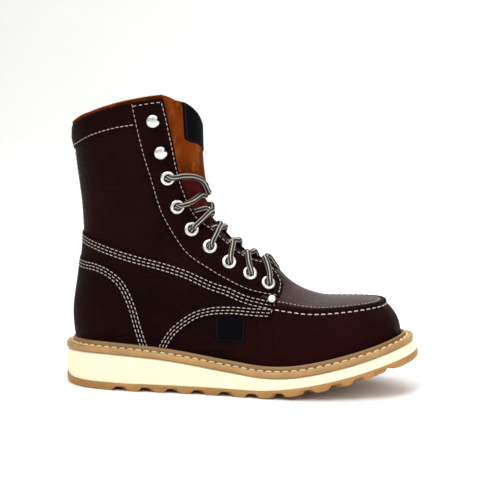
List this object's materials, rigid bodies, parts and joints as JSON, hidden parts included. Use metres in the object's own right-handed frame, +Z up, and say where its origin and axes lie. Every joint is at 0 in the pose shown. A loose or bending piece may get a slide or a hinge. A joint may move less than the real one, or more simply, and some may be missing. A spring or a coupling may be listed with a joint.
{
  "type": "moc toe work boot",
  "caption": "Right moc toe work boot: hollow lace-up leather shaft and vamp with a raised toe seam, on a cream wedge sole with a tan welt and zigzag lugs.",
  "frame": {"origin": "on the floor under the middle of the sole's length and width", "axes": "+X from heel to toe, +Y to the inner side of the right foot, +Z up"},
  "size_m": [0.305, 0.1134, 0.2499],
  "materials": {
    "gum_rubber": "matte gum rubber",
    "cream_foam": "smooth cream wedge foam",
    "welt_leather": "waxed tan leather",
    "insole_leather": "plain leather",
    "brown_leather": "oiled full-grain leather",
    "rust_suede": "napped suede",
    "burgundy_leather": "oiled full-grain leather, a little redder",
    "navy_cloth": "bare woven label",
    "nickel": "polished nickel",
    "lace_cord": "round woven lace with dark stripes"
  },
  "bodies": {
    "root": {"outsole": "gum_rubber", "midsole": "cream_foam", "welt": "welt_leather", "insole": "insole_leather", "upper": "brown_leather", "tongue": "rust_suede", "plug": "burgundy_leather", "moc_seam": "brown_leather", "counter": "brown_leather", "quarter_lateral": "brown_leather", "quarter_medial": "brown_leather", "eyestay_lateral": "brown_leather", "eyestay_medial": "brown_leather", "collar_band": "brown_leather", "side_tag": "navy_cloth", "tongue_label": "navy_cloth", "eyelet_lateral_1": "nickel", "eyelet_lateral_2": "nickel", "eyelet_lateral_3": "nickel", "eyelet_lateral_4": "nickel", "eyelet_lateral_5": "nickel", "eyelet_lateral_6": "nickel", "eyelet_lateral_7": "nickel", "hook_lateral_1": "nickel", "hook_lateral_2": "nickel", "rivet_lateral": "nickel", "eyelet_medial_1": "nickel", "eyelet_medial_2": "nickel", "eyelet_medial_3": "nickel", "eyelet_medial_4": "nickel", "eyelet_medial_5": "nickel", "eyelet_medial_6": "nickel", "eyelet_medial_7": "nickel", "hook_medial_1": "nickel", "hook_medial_2": "nickel", "rivet_medial": "nickel", "lace_cross_1": "lace_cord", "lace_cross_2": "lace_cord", "lace_cross_3": "lace_cord", "lace_cross_4": "lace_cord", "lace_cross_5": "lace_cord", "lace_cross_6": "lace_cord", "lace_cross_7": "lace_cord"}
  },
  "joints": []
}
